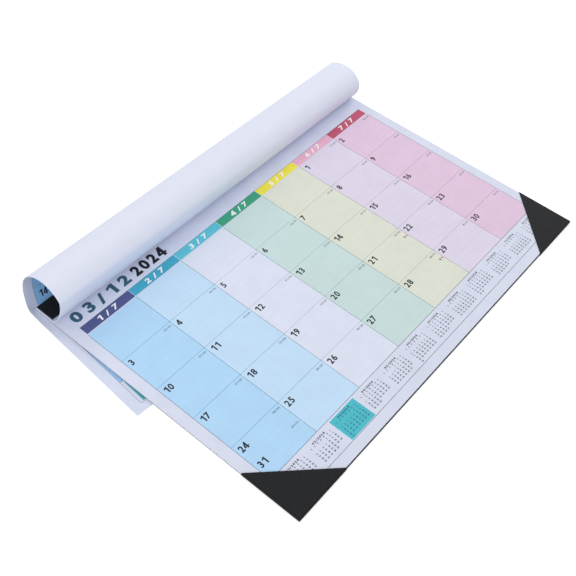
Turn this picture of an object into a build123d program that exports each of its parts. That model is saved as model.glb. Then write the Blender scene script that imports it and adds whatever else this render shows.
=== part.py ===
from build123d import *
import os
from itertools import pairwise
from math import atan2, ceil, cos, radians, sin

# Desk-pad calendar. The first two pages are turned over the bound edge in a loose loop,
# and their free end is tucked under the pad.
# Millimetres. +X runs along the bound edge, +Y up the page, +Z up from the desk.
# The origin is the middle of the pad, on the desk.

# Pad
page_width = 431.8
page_height = 304.8
page_thickness = 0.12
pages_left = 10
board_thickness = 1.0
# The board stands out this far past the lower edge of the pages
board_lip = 0.8

# Two turned pages with the air between them
turned_thickness = 0.4

# Leatherette of the binding strip and the corner holders
cloth_thickness = 0.4
cloth_fold_radius = 0.3
strip_width = 20.5
strip_inset = 1.3
holder_leg = 60.0
holder_slack = 0.1

# Loop of the turned pages, measured to the middle of their thickness. The reach and height
# of its bulge and of its back are shares of the crest's height at the same end.
crest_setback = 11.9
return_gap = 0.6
crest_height_left = 48.9
crest_height_right = 36.1
bulge_reach_share_left = 0.368
bulge_reach_share_right = 0.346
bulge_rise_share_left = 0.703
bulge_rise_share_right = 0.548
back_reach_share_left = 0.237
back_reach_share_right = 0.216
back_rise_share_left = 0.489
back_rise_share_right = 0.781

# Degrees turned by the first of the two arcs in each quarter of the loop
bulge_turn = 45
rise_turn = 45
crest_turn = 30
back_turn = 22
# Degrees that one straight chord of an arc may turn
chord_turn = 6

# Sideways creep of the turned pages: to the right at the crest, to the left on the desk
crest_creep = 2.0
desk_creep = 4.35
trim_margin = 1.0

# Print
ink_thickness = 0.05
side_margin = 11.15
bottom_margin = 11.3
columns = 7
rows = 5
grid_from_top = 55.4
line_width = 0.35
header_height = 9.7
header_gap = 1.0
header_spacing = 0.5
mini_strip_height = 27.6

# Small month tables along the bottom of the page
mini_months = 12
mini_gap = 5.44
mini_inset_left = 7.1
mini_inset_right = 4.16
mini_title_width = 16.0
mini_title_height = 1.8
mini_title_drop = 3.9
mini_row_height = 1.1
mini_row_pitch = 2.97
mini_rows = 6
mini_rows_drop = 6.5
panel_month = 3
panel_border = 2.05
panel_height = 24.7
panel_drop = 2.1

# Places worked out from the sizes above
left_edge = -page_width / 2
right_edge = page_width / 2
top_edge = page_height / 2
bottom_edge = -page_height / 2
board_bottom = max(turned_thickness, cloth_thickness)
board_top = board_bottom + board_thickness
block_height = pages_left * page_thickness
block_top = board_top + block_height
bound_top = block_top + turned_thickness
strip_top = bound_top + cloth_thickness
strip_edge = top_edge - strip_width

os.makedirs("parts", exist_ok=True)


def save(part, name):
    """Labels a finished piece and writes its file."""
    part.label = name
    export_step(part, f"parts/{name}.step")


# Backing board
with BuildPart() as board:
    with BuildSketch(Plane.XY.offset(board_bottom)):
        Rectangle(page_width, page_height)
    extrude(amount=board_thickness)
save(board.part, "backing_board")

# Pages that are left on the pad, as one block
with BuildPart() as block:
    with BuildSketch(Plane.XY.offset(board_top)):
        with Locations((0, top_edge)):
            Rectangle(page_width, page_height - board_lip, align=(Align.CENTER, Align.MAX))
    extrude(amount=block_height)
save(block.part, "page_block")


# Turned pages: each quarter of the loop is two tangent arcs, drawn as short chords. They turn
# by the same angles at the loop's left and right end, so each chord is parallel to its fellow
# at the other end and the paper between the two is flat: it is bent but never twisted.
half_turned = turned_thickness / 2
crest_y = top_edge - crest_setback
return_y = top_edge + cloth_thickness + return_gap


def two_radii(ahead, aside, first_turn):
    """Radii of two tangent arcs that turn a right angle between them.

    They set off straight ahead and cover the lengths ahead and aside.
    """
    sine = sin(radians(first_turn))
    cosine = cos(radians(first_turn))
    share = sine + cosine - 1
    first_radius = (cosine * ahead - (1 - sine) * aside) / share
    second_radius = (sine * aside - (1 - cosine) * ahead) / share
    return first_radius, second_radius


def loop_points(crest_height, bulge_reach_share, bulge_rise_share, back_reach_share,
                back_rise_share, offset=0):
    """Points along the loop at one end, from the strip round to the desk.

    They follow the middle of the thickness, moved outwards by offset.
    """
    bound_mid = block_top + half_turned
    bulge = bulge_reach_share * crest_height
    bulge_height = bulge_rise_share * crest_height
    bulge_y = strip_edge - bulge
    back_y = top_edge + back_reach_share * crest_height
    back_height = back_rise_share * crest_height
    quarters = [
        (bulge, bulge_height - bound_mid, bulge_turn),
        (crest_height - bulge_height, crest_y - bulge_y, rise_turn),
        (back_y - crest_y, crest_height - back_height, crest_turn),
        (back_height - half_turned, back_y - return_y, back_turn),
    ]
    points = [Vector(strip_edge, bound_mid - offset)]
    heading = Vector(-1, 0)
    for ahead, aside, first_turn in quarters:
        radii = two_radii(ahead, aside, first_turn)
        for radius, turn in zip(radii, (first_turn, 90 - first_turn)):
            arc = JernArc(points[-1], heading, radius + offset, -turn)
            chords = ceil(turn / chord_turn)
            points += [arc @ (step / chords) for step in range(1, chords + 1)]
            heading = arc % 1
    return points


loop_left = (crest_height_left, bulge_reach_share_left, bulge_rise_share_left, back_reach_share_left,
             back_rise_share_left)
loop_right = (crest_height_right, bulge_reach_share_right, bulge_rise_share_right, back_reach_share_right,
              back_rise_share_right)


def loop_length(shape):
    """Length of page in the loop at one end, along the middle of its thickness."""
    return sum((end - start).length for start, end in pairwise(loop_points(*shape)))


free_page = page_height - strip_width
tail_left = free_page - loop_length(loop_left)
tail_right = free_page - loop_length(loop_right)
skew = atan2(tail_right - tail_left, page_width)
tail_start_left = left_edge - desk_creep
tail_start_right = tail_start_left + page_width / cos(skew)
loop_start_x = tail_start_left - trim_margin
loop_end_x = max(tail_start_right, right_edge + crest_creep) + trim_margin

# The part of the page that the loop keeps: its ends lean as the pages creep sideways
crest_x_left = left_edge + crest_creep
crest_x_right = right_edge + crest_creep
trim_height = max(crest_height_left, crest_height_right) + turned_thickness + trim_margin
trim_depth = page_height
with BuildPart() as loop_trim:
    for foot_left, foot_right, foot_height, depth in [
        (left_edge, right_edge, bound_top, trim_depth),
        (tail_start_left, tail_start_right, turned_thickness, -trim_depth),
    ]:
        with BuildSketch(Plane.XZ.offset(-crest_y)):
            Polygon(
                (foot_left, 0),
                (foot_right, 0),
                (foot_right, foot_height),
                (crest_x_right, crest_height_right - half_turned),
                (crest_x_right, trim_height),
                (crest_x_left, trim_height),
                (crest_x_left, crest_height_left - half_turned),
                (foot_left, foot_height),
                align=None,
            )
        extrude(amount=depth)

with BuildPart() as turned:
    for plane_x, shape in [(loop_start_x, loop_left), (loop_end_x, loop_right)]:
        outside = loop_points(*shape, half_turned)
        inside = loop_points(*shape, -half_turned)
        with BuildSketch(Plane(origin=(plane_x, 0, 0), x_dir=(0, 1, 0), z_dir=(1, 0, 0))):
            Polygon(*outside, *reversed(inside), align=None)
    loft(ruled=True)
    add(loop_trim.part, mode=Mode.INTERSECT)
    # Bound end, flat under the strip
    with BuildSketch(Plane.XY.offset(block_top)):
        with Locations((0, top_edge)):
            Rectangle(page_width, strip_width, align=(Align.CENTER, Align.MAX))
    extrude(amount=turned_thickness)
    # Free end, flat on the desk under the pad
    with BuildSketch():
        Polygon(
            (tail_start_left, return_y),
            (tail_start_right, return_y),
            (tail_start_right - tail_right * sin(skew), return_y - tail_right * cos(skew)),
            (tail_start_left - tail_left * sin(skew), return_y - tail_left * cos(skew)),
            align=None,
        )
    extrude(amount=turned_thickness)
save(turned.part, "turned_pages")

# Binding strip, folded over the top edge
strip_section = [
    (strip_edge, bound_top),
    (strip_edge, strip_top),
    (top_edge + cloth_thickness, strip_top),
    (top_edge + cloth_thickness, board_bottom),
    (top_edge, board_bottom),
    (top_edge, bound_top),
]
with BuildPart() as strip:
    strip_end = Plane(origin=(left_edge + strip_inset, 0, 0), x_dir=(0, 1, 0), z_dir=(1, 0, 0))
    with BuildSketch(strip_end):
        Polygon(*strip_section, align=None)
    extrude(amount=page_width - 2 * strip_inset)
    fillet(strip.edges().filter_by(Axis.X).group_by(Axis.Z)[-1].sort_by(Axis.Y)[-1],
           radius=cloth_fold_radius)
save(strip.part, "binding_strip")


# Corner holders: a triangular pocket of leatherette, folded round the board's corner
pocket_top = block_top + ink_thickness + holder_slack
holder_bottom = board_bottom - cloth_thickness
holder_top = pocket_top + cloth_thickness
with BuildPart() as left_holder:
    with BuildSketch(Plane.XY.offset(holder_bottom)):
        with Locations((left_edge, bottom_edge)):
            Polygon(
                (-cloth_thickness, -cloth_thickness),
                (holder_leg, -cloth_thickness),
                (holder_leg, 0),
                (0, holder_leg),
                (-cloth_thickness, holder_leg),
                align=None,
            )
    extrude(amount=holder_top - holder_bottom)
    folds = left_holder.edges().filter_by(Plane.XY)
    fillet(folds.group_by(Axis.X)[0] + folds.group_by(Axis.Y)[0], radius=cloth_fold_radius)
    with BuildSketch(Plane.XY.offset(board_bottom)):
        with Locations((left_edge, bottom_edge)):
            Rectangle(2 * holder_leg, 2 * holder_leg, align=(Align.MIN, Align.MIN))
    extrude(amount=pocket_top - board_bottom, mode=Mode.SUBTRACT)
save(left_holder.part, "corner_holder_left")

with BuildPart() as right_holder:
    add(left_holder.part)
    mirror(about=Plane.YZ, mode=Mode.REPLACE)
save(right_holder.part, "corner_holder_right")


# Print on the top page, as thin flat fields of colour
grid_width = page_width - 2 * side_margin
grid_height = page_height - grid_from_top - mini_strip_height - bottom_margin
row_height = grid_height / rows
column_width = grid_width / columns
grid_left = left_edge + side_margin
grid_top = top_edge - grid_from_top
grid_bottom = grid_top - grid_height
grid_middle = (grid_top + grid_bottom) / 2
header_bottom = grid_top + header_gap
cell_width = column_width - line_width
cell_height = row_height - line_width
weekdays = ["sunday", "monday", "tuesday", "wednesday", "thursday", "friday", "saturday"]

for number, weekday in enumerate(weekdays):
    column_middle = grid_left + (number + 0.5) * column_width
    with BuildPart() as column_field:
        with BuildSketch(Plane.XY.offset(block_top)):
            with Locations((column_middle, grid_middle)):
                with GridLocations(column_width, row_height, 1, rows):
                    Rectangle(cell_width, cell_height)
        extrude(amount=ink_thickness)
    save(column_field.part, f"print_column_{weekday}")

    with BuildPart() as header_bar:
        with BuildSketch(Plane.XY.offset(block_top)):
            with Locations((column_middle, header_bottom)):
                Rectangle(column_width - header_spacing, header_height,
                          align=(Align.CENTER, Align.MIN))
        extrude(amount=ink_thickness)
    save(header_bar.part, f"print_header_{weekday}")

# Lines round the cells and round the strip of small months
with BuildPart() as grid_lines:
    with BuildSketch(Plane.XY.offset(block_top)):
        with Locations((0, grid_top + line_width / 2)):
            Rectangle(grid_width + line_width, grid_height + mini_strip_height + line_width,
                      align=(Align.CENTER, Align.MAX))
        with Locations((0, grid_middle)):
            with GridLocations(column_width, row_height, columns, rows):
                Rectangle(cell_width, cell_height, mode=Mode.SUBTRACT)
        with Locations((0, grid_bottom - line_width / 2)):
            Rectangle(grid_width - line_width, mini_strip_height - line_width,
                      align=(Align.CENTER, Align.MAX), mode=Mode.SUBTRACT)
    extrude(amount=ink_thickness)
save(grid_lines.part, "print_grid_lines")

# Coloured panel behind the month that is on top
mini_pitch = (grid_width - mini_inset_left - mini_inset_right + mini_gap) / mini_months
mini_width = mini_pitch - mini_gap
panel_width = mini_width + 2 * panel_border
first_month_x = grid_left + mini_inset_left + mini_width / 2
panel_x = first_month_x + (panel_month - 1) * mini_pitch
with BuildPart() as month_panel:
    with BuildSketch(Plane.XY.offset(block_top)):
        with Locations((panel_x, grid_bottom - panel_drop)):
            Rectangle(panel_width, panel_height, align=(Align.CENTER, Align.MAX))
    extrude(amount=ink_thickness)
save(month_panel.part, "print_month_panel")

# Small months: a title bar and its rows, each row as one bar
row_middle_drop = mini_rows_drop + (mini_rows - 1) * mini_row_pitch / 2 + mini_row_height / 2
with BuildPart() as small_months:
    for month in range(mini_months):
        month_x = first_month_x + month * mini_pitch
        on_panel = month + 1 == panel_month
        month_z = block_top + ink_thickness if on_panel else block_top
        with BuildSketch(Plane.XY.offset(month_z)):
            with Locations((month_x, grid_bottom - mini_title_drop)):
                Rectangle(mini_title_width, mini_title_height, align=(Align.CENTER, Align.MAX))
            with Locations((month_x, grid_bottom - row_middle_drop)):
                with GridLocations(mini_width, mini_row_pitch, 1, mini_rows):
                    Rectangle(mini_width, mini_row_height)
        extrude(amount=ink_thickness)
save(small_months.part, "print_small_months")
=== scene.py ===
"""Looks of the desk-pad calendar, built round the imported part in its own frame.

Sizes on a page are in millimetres, across from its left edge and down from its top edge.
Meshes are in metres: +X along the bound edge, +Y up the page, +Z up from the desk.
"""

import calendar
import logging
import math
from collections.abc import Callable
from dataclasses import dataclass, field, replace
from enum import Enum

import bpy
import numpy as np
from mathutils import Matrix, Vector


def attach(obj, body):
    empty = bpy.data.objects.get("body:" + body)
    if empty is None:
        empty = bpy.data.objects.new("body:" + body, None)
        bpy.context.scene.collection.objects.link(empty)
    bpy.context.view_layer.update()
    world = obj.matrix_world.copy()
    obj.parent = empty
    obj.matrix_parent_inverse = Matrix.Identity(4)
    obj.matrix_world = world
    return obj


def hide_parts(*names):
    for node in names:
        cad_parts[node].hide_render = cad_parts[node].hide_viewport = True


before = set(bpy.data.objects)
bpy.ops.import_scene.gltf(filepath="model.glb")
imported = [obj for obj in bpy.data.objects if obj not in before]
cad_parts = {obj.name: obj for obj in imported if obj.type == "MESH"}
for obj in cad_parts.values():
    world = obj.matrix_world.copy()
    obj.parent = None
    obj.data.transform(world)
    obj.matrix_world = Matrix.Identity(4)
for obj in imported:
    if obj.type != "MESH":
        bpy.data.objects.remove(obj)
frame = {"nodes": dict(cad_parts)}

log = logging.getLogger("calendar")
Colour = tuple[float, float, float]
Place = tuple[float, float, float]
Material = bpy.types.Material
Piece = bpy.types.Object
Socket = bpy.types.NodeSocket
MM = 0.001


def linear(red: int, green: int, blue: int) -> Colour:
    """Turns a colour as seen on a screen into the linear values of a shader.

    Args:
        red: Red from 0 to 255.
        green: Green from 0 to 255.
        blue: Blue from 0 to 255.

    Returns:
        The three linear values from 0 to 1.
    """
    shares = np.array((red, green, blue)) / 255
    values = np.where(shares <= 0.04045, shares / 12.92, ((shares + 0.055) / 1.055) ** 2.4)
    return tuple(values.tolist())


def tinted(colour: Colour, factor: float) -> Colour:
    """A colour made lighter or darker by a factor."""
    return tuple(min(1.0, value * factor) for value in colour)


class Weekday(Enum):
    """A column of the page: how its header bar, its cells and the lines across it look."""

    SUNDAY = ((77, 86, 139), (178, 217, 249), (92, 148, 178))
    MONDAY = ((60, 169, 200), (195, 224, 249), (108, 154, 178))
    TUESDAY = ((91, 195, 216), (221, 227, 244), (162, 170, 188))
    WEDNESDAY = ((54, 161, 124), (200, 222, 221), (140, 164, 164))
    THURSDAY = ((242, 230, 71), (222, 226, 212), (164, 168, 152))
    FRIDAY = ((235, 178, 203), (223, 214, 234), (166, 154, 178))
    SATURDAY = ((190, 77, 107), (225, 198, 223), (168, 138, 166))

    @property
    def header(self) -> Colour:
        """Colour of the header bar."""
        return linear(*self.value[0])

    @property
    def cells(self) -> Colour:
        """Colour of the column's cells."""
        return linear(*self.value[1])

    @property
    def rule(self) -> Colour:
        """Colour of the lines across the column."""
        return linear(*self.value[2])


class Anchor(Enum):
    """Which part of a run of figures stands at its given place."""

    LEFT = 0.0
    MIDDLE = 0.5
    RIGHT = 1.0


class Ink(Enum):
    """Inks of the figures: how each looks, and how much bolder than the font it prints."""

    TEAL = ((52, 93, 115), 0.09)
    YEAR = ((14, 17, 29), 0.09)
    BLACK = ((14, 17, 30), 0.06)
    WHITE = ((250, 252, 254), 0.06)
    GREY = ((112, 118, 136), 0.08)
    RED = ((190, 60, 60), 0.06)
    FINE = ((42, 46, 70), 0.08)

    @property
    def bold(self) -> float:
        """How much bolder than the font it prints, as a share of a figure's height."""
        return self.value[1]

    @property
    def label(self) -> str:
        """What a piece in this ink is called after; the fine one prints the small months."""
        return "small_months" if self is Ink.FINE else self.name.lower()


@dataclass(frozen=True)
class Noise:
    """A noise pattern, whose scale is one over the size of its features in metres."""

    scale: float
    detail: float = 2.0
    roughness: float = 0.5
    stretch: Place = (1.0, 1.0, 1.0)


@dataclass(frozen=True)
class Relief:
    """How far a pattern raises a surface, in metres, and how strongly that shows."""

    distance: float
    strength: float = 1.0


class Tree:
    """A node tree, with short calls that add nodes and join them."""

    def __init__(self, tree: bpy.types.NodeTree) -> None:
        """Takes a node tree and empties it."""
        self.tree = tree
        tree.nodes.clear()

    def feed(self, socket: Socket, value: object) -> None:
        """Gives an input its value.

        Args:
            socket: The input.
            value: A number, a colour or another node's output.
        """
        if isinstance(value, Socket):
            self.tree.links.new(value, socket)
        else:
            socket.default_value = value

    def add(self, kind: str, inputs: dict[int | str, object] | None = None,
            **settings: object) -> bpy.types.Node:
        """Adds a shader node.

        Args:
            kind: Its type, without the words that all shader nodes' types begin with.
            inputs: What its inputs get, by their names or numbers; None leaves one alone.
            settings: Its properties.

        Returns:
            The node.
        """
        node = self.tree.nodes.new(f"ShaderNode{kind}")
        for name, value in settings.items():
            setattr(node, name, value)
        for name, value in (inputs or {}).items():
            if value is not None:
                self.feed(node.inputs[name], value)
        return node

    def maths(self, operation: str, *values: object) -> Socket:
        """Works out one number from others."""
        return self.add("Math", dict(enumerate(values)), operation=operation).outputs[0]


class Graph(Tree):
    """A material's node tree round one Principled shader."""

    def __init__(self, name: str) -> None:
        """Starts a material with its shader wired to the output.

        Args:
            name: The material's name.
        """
        self.material = bpy.data.materials.new(name)
        self.material.use_nodes = True
        super().__init__(self.material.node_tree)
        self.shader = self.add("BsdfPrincipled")
        self.add("OutputMaterial", {"Surface": self.shader.outputs[0]})
        self.place = self.add("TexCoord").outputs["Object"]

    def set(self, **values: object) -> Material:
        """Sets the shader's own sockets.

        Args:
            values: What each socket gets; an underscore in its name stands for a space.

        Returns:
            The material.
        """
        for name, value in values.items():
            self.feed(self.shader.inputs[name.replace("_", " ")], value)
        return self.material

    def axes(self, vector: Socket) -> tuple[Socket, ...]:
        """Splits a vector into its X, Y and Z."""
        return tuple(self.add("SeparateXYZ", {0: vector}).outputs)

    def both(self, mask: Socket, *others: object) -> Socket:
        """Multiplies a mask by other masks or numbers, so it is 1 only where all of them are."""
        for other in others:
            mask = self.maths("MULTIPLY", mask, other)
        return mask

    def without(self, mask: Socket) -> Socket:
        """Gives 1 where a mask is 0, and 0 where it is 1."""
        return self.maths("SUBTRACT", 1.0, mask)

    def band(self, number: Socket, low: float, high: float) -> Socket:
        """Gives 1 where a number lies between low and high, and 0 elsewhere."""
        return self.both(self.maths("GREATER_THAN", number, low),
                         self.maths("LESS_THAN", number, high))

    def lines(self, number: Socket, first: float, pitch: float, width: float) -> Socket:
        """Gives 1 on lines of a width that repeat at a pitch.

        Args:
            number: The coordinate that the lines divide.
            first: Where the first line's middle lies.
            pitch: Distance from one line to the next.
            width: Width of a line, in the coordinate's unit.

        Returns:
            The mask: the distance to the nearest multiple of the pitch is under half a width.
        """
        shifted = self.maths("SUBTRACT", number, first - pitch / 2)
        within = self.maths("SUBTRACT", self.maths("FLOORED_MODULO", shifted, pitch), pitch / 2)
        return self.maths("LESS_THAN", self.maths("ABSOLUTE", within), width / 2)

    def noise(self, pattern: Noise) -> Socket:
        """Noise on Object coordinates.

        Args:
            pattern: Which noise it is.

        Returns:
            The noise, from 0 to 1.
        """
        spot = self.add("Mapping", {"Vector": self.place, "Scale": pattern.stretch})
        return self.add("TexNoise", {"Vector": spot.outputs[0], "Scale": pattern.scale,
                                     "Detail": pattern.detail,
                                     "Roughness": pattern.roughness}).outputs["Fac"]

    def grain(self, scale: float, feature: str = "F1") -> Socket:
        """Distance within Voronoi cells on Object coordinates."""
        return self.add("TexVoronoi", {"Vector": self.place, "Scale": scale},
                        feature=feature).outputs["Distance"]

    def mix(self, share: object, first: object, second: object) -> Socket:
        """Mixes two colours.

        Args:
            share: How much there is of the second one.
            first: A colour, or a node's output.
            second: The same.

        Returns:
            The mixed colour.
        """
        node = self.add("Mix", {"Factor": share}, data_type="RGBA")
        colours = [socket for socket in node.inputs if socket.type == "RGBA"]
        for socket, colour in zip(colours, (first, second)):
            self.feed(socket, colour if isinstance(colour, Socket) else (*colour, 1))
        return next(socket for socket in node.outputs if socket.type == "RGBA")

    def clouded(self, share: Socket, colour: Colour, depth: float) -> Socket:
        """A colour that goes from darker to lighter by a depth, with a share from 0 to 1."""
        return self.mix(share, tinted(colour, 1 - depth), tinted(colour, 1 + depth))

    def spread(self, number: Socket, low: float, high: float,
               start: float = 0.0, end: float = 1.0) -> Socket:
        """Maps start to end of a number onto low to high, and keeps it between them."""
        return self.add("MapRange", dict(enumerate((number, start, end, low, high)))).outputs[0]

    def steps(self, share: Socket, colours: list[Colour]) -> Socket:
        """A row of equal bands of colour.

        Args:
            share: How far along the row a point is, from 0 to 1.
            colours: The bands' colours in order.

        Returns:
            The colour at the point.
        """
        node = self.add("ValToRGB", {"Fac": share})
        node.color_ramp.interpolation = "CONSTANT"
        stops = node.color_ramp.elements
        while len(stops) < len(colours):
            stops.new(0.5)
        for number, colour in enumerate(colours):
            stops[number].position = number / len(colours)
            stops[number].color = (*colour, 1)
        return node.outputs["Color"]

    def bump(self, height: Socket, relief: Relief, below: Socket | None = None) -> Socket:
        """Raises the surface by a height from 0 to 1, over the bump below it."""
        return self.add("Bump", {"Strength": relief.strength, "Distance": relief.distance,
                                 "Height": height, "Normal": below}).outputs["Normal"]


@dataclass(frozen=True)
class PaperFinish:
    """Uncoated paper, or ink on it: mottled a little, cockled slowly, with a fine tooth."""

    name: str
    colour: Colour
    mottle: float = 0.03
    roughness: float = 0.62
    roughness_spread: float = 0.05
    specular: float = 0.32
    fibres: Noise = Noise(1400, 4, 0.6, (1.0, 0.45, 1.0))
    clouds: Noise = Noise(60, 3, 0.6)
    waves: Noise = Noise(22)
    tooth: Relief = Relief(0.00003, 0.8)
    cockle: Relief = Relief(0.0004, 0.5)

    def start(self) -> Graph:
        """Wires roughness and relief, which every paper finish shares.

        Returns:
            The material's tree, which still needs its colour.
        """
        graph = Graph(self.name)
        fibres = graph.noise(self.fibres)
        waves = graph.bump(graph.noise(self.waves), self.cockle)
        graph.set(Roughness=graph.spread(fibres, self.roughness - self.roughness_spread,
                                         self.roughness + self.roughness_spread),
                  Specular_IOR_Level=self.specular,
                  Normal=graph.bump(fibres, self.tooth, waves))
        return graph

    def mottled(self, graph: Graph) -> Socket:
        """The finish's colour, clouded by its mottle."""
        cloud = graph.spread(graph.noise(self.clouds), 0, 1, 0.3, 0.7)
        return graph.clouded(cloud, self.colour, self.mottle)

    def build(self) -> Material:
        """Builds the material."""
        graph = self.start()
        return graph.set(Base_Color=self.mottled(graph))


@dataclass(frozen=True)
class PageBlockFinish(PaperFinish):
    """The block of pages: paper on top, and on its sides the edges of single pages, with painted
    shade in the gaps between them.
    """

    page_thickness: float = 0.12 * MM
    # Colour of the painted shade in the gaps between the pages on the block's sides.
    shade: Colour = linear(112, 116, 140)
    stray: Noise = Noise(300, stretch=(1.0, 1.0, 30.0))

    def build(self) -> Material:
        """Builds the material.

        Returns:
            Paper with darker lines across its height, where the surface doesn't face up: painted
            shade in the gaps between the pages.
        """
        graph = self.start()
        height = graph.axes(graph.place)[2]
        facing = graph.axes(graph.add("NewGeometry").outputs["True Normal"])[2]
        side = graph.maths("LESS_THAN", graph.maths("ABSOLUTE", facing), 0.5)
        # Painted shade: a thin dark line in the gap between each page and the next.
        gap = graph.lines(height, 0.0, self.page_thickness, self.page_thickness / 3)
        stray = graph.spread(graph.noise(self.stray), 0.5, 1.0, 0.35, 0.65)
        return graph.set(Base_Color=graph.mix(graph.both(gap, stray, side),
                                              self.mottled(graph), self.shade))


@dataclass(frozen=True)
class ChipboardFinish:
    """Grey board with paler flecks, black along the lip below the pages."""

    name: str = "grey_chipboard"
    colour: Colour = linear(114, 114, 122)
    fleck: Colour = linear(136, 134, 136)
    black: Colour = linear(22, 23, 27)
    black_below: float = -151.0 * MM
    fibre_depth: float = 0.15
    fibres: Noise = Noise(900, 4, 0.65, (1.0, 0.4, 1.0))
    fleck_scale: float = 260
    fleck_share: float = 0.35
    rough: tuple[float, float] = (0.8, 0.95)
    specular: float = 0.25
    relief: Relief = Relief(0.00008)

    def build(self) -> Material:
        """Builds the material.

        Returns:
            Fibres and flecks, with black where the board's Y is below a line.
        """
        graph = Graph(self.name)
        fibres = graph.noise(self.fibres)
        flecks = graph.spread(graph.grain(self.fleck_scale), 1, 0, 0.05, 0.3)
        tone = graph.clouded(graph.spread(fibres, 0, 1, 0.35, 0.65), self.colour,
                             self.fibre_depth)
        tone = graph.mix(graph.both(flecks, self.fleck_share), tone, self.fleck)
        edge = graph.maths("LESS_THAN", graph.axes(graph.place)[1], self.black_below)
        return graph.set(Base_Color=graph.mix(edge, tone, self.black),
                         Roughness=graph.spread(fibres, *self.rough),
                         Specular_IOR_Level=self.specular,
                         Normal=graph.bump(fibres, self.relief))


@dataclass(frozen=True)
class LeatheretteFinish:
    """Black embossed leatherette: pebbled, with a painted sheen on the crowns of its grain.

    A pressed line runs along the folded edges, lighter by a painted highlight, and the cloth
    is darker outside it by painted shade, where it turns over the fold. Each fold is an axis,
    0 for X or 1 for Y, and its place along it.
    """

    name: str
    folds: tuple[tuple[int, float], ...]
    hem: float = 2.2 * MM
    press: float = 0.5 * MM
    colour: Colour = linear(25, 26, 29)
    # A lighter colour for the grain's crowns, a painted sheen; tinted, it also paints the
    # highlight on the pressed line.
    crown: Colour = linear(37, 39, 42)
    crown_share: float = 0.4
    # The rim's share and tint paint shade along the folds; the press's share and tint paint a
    # highlight on the pressed line.
    rim_share: float = 0.45
    press_share: float = 0.5
    rim_tint: float = 0.5
    press_tint: float = 1.25
    rough: tuple[float, float] = (0.58, 0.74)
    specular: float = 0.15
    pebble_scale: float = 1500
    creases: Noise = Noise(380, 4, 0.65)
    pebble_relief: Relief = Relief(0.00007, 0.7)
    crease_relief: Relief = Relief(0.00010, 0.6)
    press_relief: Relief = Relief(0.00012, 0.8)

    def build(self) -> Material:
        """Builds the material.

        Returns:
            The leatherette. The distance to the nearest fold is the lesser of the distances
            to the fold lines, the press is a band of it, and the rim is nearer than the hem. The
            crowns get a painted sheen, the press a painted highlight, and the rim painted shade.
        """
        graph = Graph(self.name)
        axes = graph.axes(graph.place)
        gaps = [graph.maths("ABSOLUTE", graph.maths("SUBTRACT", axes[axis], place))
                for axis, place in self.folds]
        reach = graph.maths("MINIMUM", gaps[0], gaps[-1])
        line = graph.band(reach, self.hem, self.hem + self.press)
        rim = graph.maths("LESS_THAN", reach, self.hem)
        pebbles = graph.grain(self.pebble_scale, "SMOOTH_F1")
        creases = graph.noise(self.creases)
        # Painted sheen: the grain's crowns are lighter.
        crowns = graph.spread(pebbles, 1, 0, 0.0, 0.55)
        tone = graph.mix(graph.both(crowns, self.crown_share), self.colour, self.crown)
        # Painted shade along the folds, then a painted highlight on the pressed line.
        tone = graph.mix(graph.both(rim, self.rim_share), tone,
                         tinted(self.colour, self.rim_tint))
        tone = graph.mix(graph.both(line, self.press_share), tone,
                         tinted(self.crown, self.press_tint))
        relief = graph.bump(pebbles, self.pebble_relief)
        relief = graph.bump(creases, self.crease_relief, relief)
        relief = graph.bump(graph.without(line), self.press_relief, relief)
        return graph.set(Base_Color=tone, Roughness=graph.spread(creases, *self.rough, 0.3, 0.7),
                         Specular_IOR_Level=self.specular, Normal=relief)


@dataclass(frozen=True)
class PageLayout:
    """Where the print stands on a page, in millimetres."""

    width: float = 431.8
    height: float = 304.8
    side_margin: float = 11.15
    grid_top: float = 55.4
    grid_bottom: float = 265.9
    strip_bottom: float = 293.5
    header_top: float = 44.7
    header_bottom: float = 54.4
    header_spacing: float = 0.5
    line: float = 0.35
    columns: int = 7
    rows: int = 5
    month_inset: float = 7.1
    month_pitch: float = 33.64
    month_width: float = 28.2
    panel_border: float = 2.05
    panel_drop: float = 2.1
    panel_height: float = 24.7

    @property
    def right(self) -> float:
        """The grid's right side."""
        return self.width - self.side_margin

    @property
    def column(self) -> float:
        """Width of one column."""
        return (self.right - self.side_margin) / self.columns

    @property
    def row(self) -> float:
        """Height of one row of cells."""
        return (self.grid_bottom - self.grid_top) / self.rows

    def month_left(self, month: int) -> float:
        """Left side of a small month along the bottom, from 1 to 12."""
        return self.side_margin + self.month_inset + (month - 1) * self.month_pitch


@dataclass(frozen=True)
class CellRules:
    """Faint writing lines in each cell, in millimetres from the cell's own top."""

    first: float = 14.4
    pitch: float = 7.2
    count: int = 4
    width: float = 0.3
    shade: float = 0.91

    def mask(self, graph: Graph, down: Socket, page: PageLayout) -> Socket:
        """Gives 1 on the writing lines.

        Args:
            graph: The tree to add to.
            down: Millimetres down the page.
            page: The page's layout.

        Returns:
            The mask: within its row, the distance down is a whole number of pitches past
            the first line, up to the last one.
        """
        within = graph.maths("FLOORED_MODULO", graph.maths("SUBTRACT", down, page.grid_top),
                             page.row)
        last = self.first + (self.count - 0.5) * self.pitch
        return graph.both(graph.lines(within, self.first, self.pitch, self.width),
                          graph.band(within, self.first - self.pitch / 2, last))


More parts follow.
